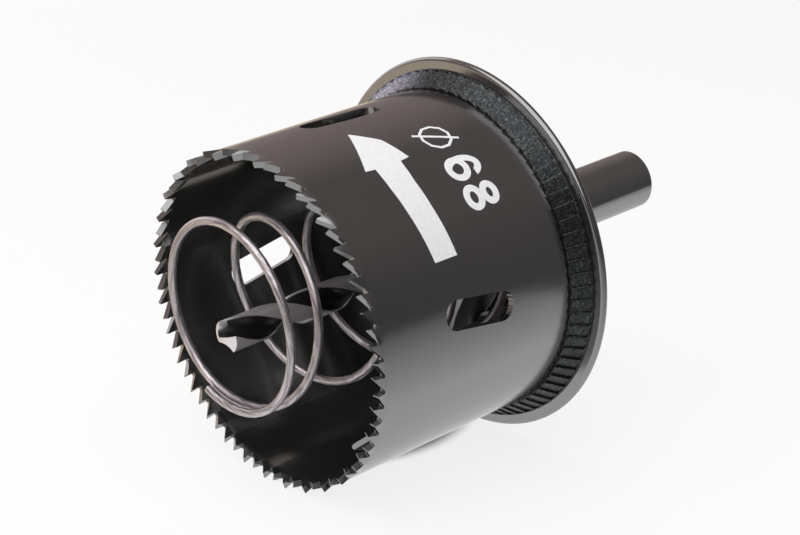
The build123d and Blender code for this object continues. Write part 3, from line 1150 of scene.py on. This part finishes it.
class HOLESAW_OT_marks(bpy.types.Operator):
    """Adds the printed direction arrow and size mark"""
    bl_idname = "hole_saw.marks"
    bl_label = "Printed marks"

    def execute(self, context):
        saw = context.scene.hole_saw
        sizes = saw.marks
        radius = saw.cup.diameter / 2
        finish = printed("print_white")
        degree = FULL_TURN * radius / 360

        def at(angle, height):
            """A point on the unrolled wall, from its angle in degrees and its height in millimetres."""
            return ((angle + MARKS_TURN) * degree, 0, height / 1000)

        # Arrow: a tapering shaft with a barbed head.
        arrow = chain("direction_arrow", [at(*corner) for corner in ARROW])
        clean(arrow)
        bpy.ops.mesh.edge_face_add()
        self.print_on(arrow, radius, sizes.proud, finish)

        # Digits: a six of a bowl and an open arc, and an eight of two rings.
        wide, tall, line = sizes.digit_width, sizes.digit_height, sizes.digit_line
        digits = self.ring("size_digits", wide, tall, line)
        bpy.ops.mesh.primitive_cube_add(
            size=1, scale=(wide, tall, wide), location=(wide / 2, TAIL_GAP * tall, 0)
        )
        cut(digits, named("tail_gap"))
        for name, digit, across, high, end in DIGIT_LOOPS:
            loop = self.ring(name, wide * across, tall * high, line)
            middle = (digit * sizes.digit_step, end * tall * (1 - high) / 2, 0)
            loop.data.transform(Matrix.Translation(middle))
            cut(digits, loop, "UNION")
        self.lay_out(digits, (-sizes.digit_step / 2, 0), at(SIZE_ANGLE, sizes.size_centre * 1000))
        self.print_on(digits, radius, sizes.proud, finish)

        # Diameter sign: a ring with few sides and a stroke through its middle.
        sign = self.ring("diameter_sign", sizes.sign_radius * 2, sizes.sign_radius * 2, sizes.sign_line, 10)
        deselect_all()
        bpy.ops.mesh.primitive_cube_add(
            size=1, location=(0, 0, MARK_DEPTH / 2), scale=(sizes.sign_stroke, sizes.sign_line, MARK_DEPTH),
            rotation=(0, 0, sizes.sign_slope),
        )
        cut(sign, named("sign_stroke"), "UNION")
        self.lay_out(sign, (0, 0), at(SIGN_ANGLE, sizes.size_centre * 1000))
        self.print_on(sign, radius, sizes.proud, finish)
        return {"FINISHED"}

    def ring(self, name, wide, tall, line, corners=40):
        """An oval ring of even line width, drawn flat as a thin solid."""
        deselect_all()
        bpy.ops.mesh.primitive_circle_add(vertices=corners, radius=0.5, fill_type="NGON")
        piece = named(name)
        edit(piece)
        bpy.ops.mesh.select_all(action="SELECT")
        bpy.ops.transform.resize(value=(wide, tall, 1), center_override=(0, 0, 0))
        bpy.ops.mesh.inset(thickness=line)
        bpy.ops.mesh.delete(type="FACE")
        bpy.ops.mesh.select_all(action="SELECT")
        bpy.ops.mesh.extrude_region_move(TRANSFORM_OT_translate={"value": (0, 0, MARK_DEPTH)})
        clean(piece)
        leave_edit()
        return piece

    def lay_out(self, piece, middle, place):
        """Keeps a mark's upper faces and stands them up on the unrolled wall, in edit mode."""
        edit(piece)
        pick(piece, "FACE", lambda face: face.calc_center_median().z < MARK_DEPTH * 0.99)
        bpy.ops.mesh.delete(type="FACE")
        leave_edit()
        piece.data.transform(
            Matrix.Translation(place) @ Matrix.Rotation(pi / 2, 4, "X")
            @ Matrix.Translation((*middle, -MARK_DEPTH))
        )
        edit(piece)

    def print_on(self, piece, radius, proud, finish):
        """Divides a flat mark, bends it round the wall, makes it as thick as print and seats it."""
        clean(piece)
        cut_in_columns(piece, COLUMN)
        clean(piece)
        shape = bmesh.from_edit_mesh(piece.data)
        if sum(face.normal.y * face.calc_area() for face in shape.faces) > 0:
            bpy.ops.mesh.select_all(action="SELECT")
            bpy.ops.mesh.flip_normals()
        leave_edit()
        piece.data.transform(Matrix.Translation((0, -proud, 0)))
        wrap(piece, radius)
        apply_modifier(piece, "SOLIDIFY", thickness=proud * 0.9, offset=-1)
        seat(piece, finish)


class HOLESAW_OT_stage(bpy.types.Operator):
    """Adds the floor, the light and the camera"""
    bl_idname = "hole_saw.stage"
    bl_label = "Stage"

    def execute(self, context):
        scene = context.scene
        settings = scene.hole_saw.stage
        scene.view_settings.view_transform = "Standard"

        deselect_all()
        bpy.ops.mesh.primitive_plane_add(size=settings.floor_size, location=(0, 0, 0))
        floor = named("floor")
        edit(floor)
        bpy.ops.mesh.select_all(action="SELECT")
        bpy.ops.mesh.subdivide(number_cuts=3)
        bpy.ops.transform.translate(value=(0, settings.floor_size / 4, -0.0001))
        leave_edit()
        floor.data.materials.append(self.floor_finish(settings))

        self.room(settings)
        self.softbox("key_softbox", KEY_PLACE, settings.key_size, settings.key)
        self.softbox("back_softbox", BACK_PLACE, settings.back_size, settings.back)

        ground = cos(CAMERA_ELEVATION)
        back = Vector((sin(CAMERA_AZIMUTH) * ground, -cos(CAMERA_AZIMUTH) * ground, sin(CAMERA_ELEVATION)))
        bpy.ops.object.camera_add(location=CAMERA_AIM + back * CAMERA_DISTANCE)
        camera = bpy.context.active_object
        camera.rotation_mode = "QUATERNION"
        camera.rotation_quaternion = (-back).to_track_quat("-Z", "Y") @ Quaternion((0, 0, 1), CAMERA_ROLL)
        camera.data.sensor_width = CAMERA_SENSOR
        camera.data.lens = CAMERA_LENS
        camera.data.clip_start = 0.01
        scene.camera = camera
        return {"FINISHED"}

    def softbox(self, name, place, size, brightness):
        """A square softbox that faces the tool; its brightness is that of its own face."""
        bpy.ops.object.light_add(type="AREA", location=place)
        light = bpy.context.active_object
        light.name = name
        light.data.size = size
        light.data.energy = brightness * pi * size * size
        light.rotation_euler = (-place).to_track_quat("-Z", "Y").to_euler()
        light.visible_camera = False

    def room(self, settings):
        """White backdrop for the camera and a dim room for the gloss, brighter behind the tool."""
        studio = Studio("studio")
        bpy.context.scene.world = studio.material
        toward = studio.node("ShaderNodeTexCoord", output="Generated")
        across = studio.part(toward, "Y")
        walls = (
            (0.10, rgba(settings.room_front)), (0.24, rgba(settings.room_above)),
            (0.58, rgba(settings.room_above)), (0.80, rgba(settings.room_behind)),
        )
        walls = studio.node("ShaderNodeValToRGB", {"stops": walls}, {0: across * 0.5 + 0.5})
        seen = studio.node("ShaderNodeLightPath", output="Is Camera Ray")
        studio.set(Color=studio.mix(seen, walls, rgba(settings.backdrop)))

    def floor_finish(self, settings):
        """White floor that keeps the shadow. Seen in the gloss it glows with painted light: fading away from
        the tool, warm behind it, and painted dim beyond a slanted line.
        """
        finish = Finish("floor_white")
        here = finish.node("ShaderNodeTexCoord", output="Object")
        # A painted shadow: an oval close under the cup is painted dark and gives no glow. No lamp casts it as
        # a shadow, and it can be seen beside the cup from behind.
        from_painted_shadow = finish.vector("SUBTRACT", {0: here, 1: PAINTED_SHADOW_MIDDLE})
        spread = finish.vector("DIVIDE", {0: from_painted_shadow, 1: PAINTED_SHADOW_HALF})
        clear = finish.ramp(finish.vector("LENGTH", {0: spread}, "Value"), *PAINTED_SHADOW_EDGE)
        finish.set(Base_Color=finish.mix(clear, PAINTED_SHADOW_COLOUR, rgba(settings.floor)), Roughness=0.6)
        # Painted shade for the gloss: beyond a slanted line the floor's glow is painted dim, although the
        # floor itself goes on white.
        across, along = finish.part(here, "X"), finish.part(here, "Y")
        edge = across + along * settings.edge_slope
        beyond = finish.ramp(edge, settings.edge - 0.004, settings.edge + 0.004)
        beyond = beyond * finish.ramp(along * -1, 0.09, 0.12)
        seen = finish.node("ShaderNodeLightPath", output="Is Camera Ray")
        mirrored = finish.node("ShaderNodeLightPath", output="Is Glossy Ray")
        # Painted pool of light for the gloss: the glow fades from white near the tool, and a painted warm
        # glow lies behind it.
        away = along.math("ABSOLUTE", along, 0)
        away = away.math("MAXIMUM", away, settings.falloff_start)
        near = away.math("POWER", settings.falloff_start / away, settings.falloff)
        light = finish.mix(near, (0, 0, 0, 1), rgba(settings.backdrop))
        light = finish.mix(beyond, light, rgba(settings.room_front))
        light = finish.mix(finish.ramp(along, 0.02, 0.06), light, rgba(settings.painted_warm_glow))
        light = finish.mix(mirrored, rgba(settings.backdrop), light)
        glow = finish.node("ShaderNodeEmission", None, {"Color": light})
        body = Value(finish, finish.shader.outputs[0])
        share_seen = seen * settings.floor_glow * clear
        both = finish.node("ShaderNodeMixShader", None, {0: share_seen + mirrored, 1: body, 2: glow})
        finish.tree.links.new(both.socket, finish.tree.nodes["Material Output"].inputs["Surface"])
        return finish.material


class HOLESAW_PT_panel(bpy.types.Panel):
    """Lists the hole saw's pieces and its stage"""
    bl_idname = "HOLESAW_PT_panel"
    bl_label = "Hole saw"
    bl_space_type = "VIEW_3D"
    bl_region_type = "UI"
    bl_category = "Hole saw"

    def draw(self, context):
        for operator in OPERATORS:
            self.layout.operator(operator.bl_idname, text=operator.bl_label)


GROUPS = (
    PlaceSizes, CupSizes, RingSizes, FlangeSizes, ArborSizes, FastenerSizes, DrillSizes, SpringSizes,
    MarkSizes, FinishColours, StageSettings, HoleSawSettings,
)
OPERATORS = (
    HOLESAW_OT_cup, HOLESAW_OT_ring, HOLESAW_OT_flange, HOLESAW_OT_arbor, HOLESAW_OT_fasteners,
    HOLESAW_OT_drill, HOLESAW_OT_spring, HOLESAW_OT_marks, HOLESAW_OT_stage,
)


def register():
    for one in (*GROUPS, *OPERATORS, HOLESAW_PT_panel):
        bpy.utils.register_class(one)
    bpy.types.Scene.hole_saw = bpy.props.PointerProperty(type=HoleSawSettings)


def unregister():
    del bpy.types.Scene.hole_saw
    for one in reversed((*GROUPS, *OPERATORS, HOLESAW_PT_panel)):
        bpy.utils.unregister_class(one)


def main():
    """Builds every piece and the stage."""
    register()
    for operator in OPERATORS:
        getattr(bpy.ops.hole_saw, operator.bl_idname.split(".")[1])()
    bpy.context.view_layer.update()


if __name__ == "__main__":
    main()
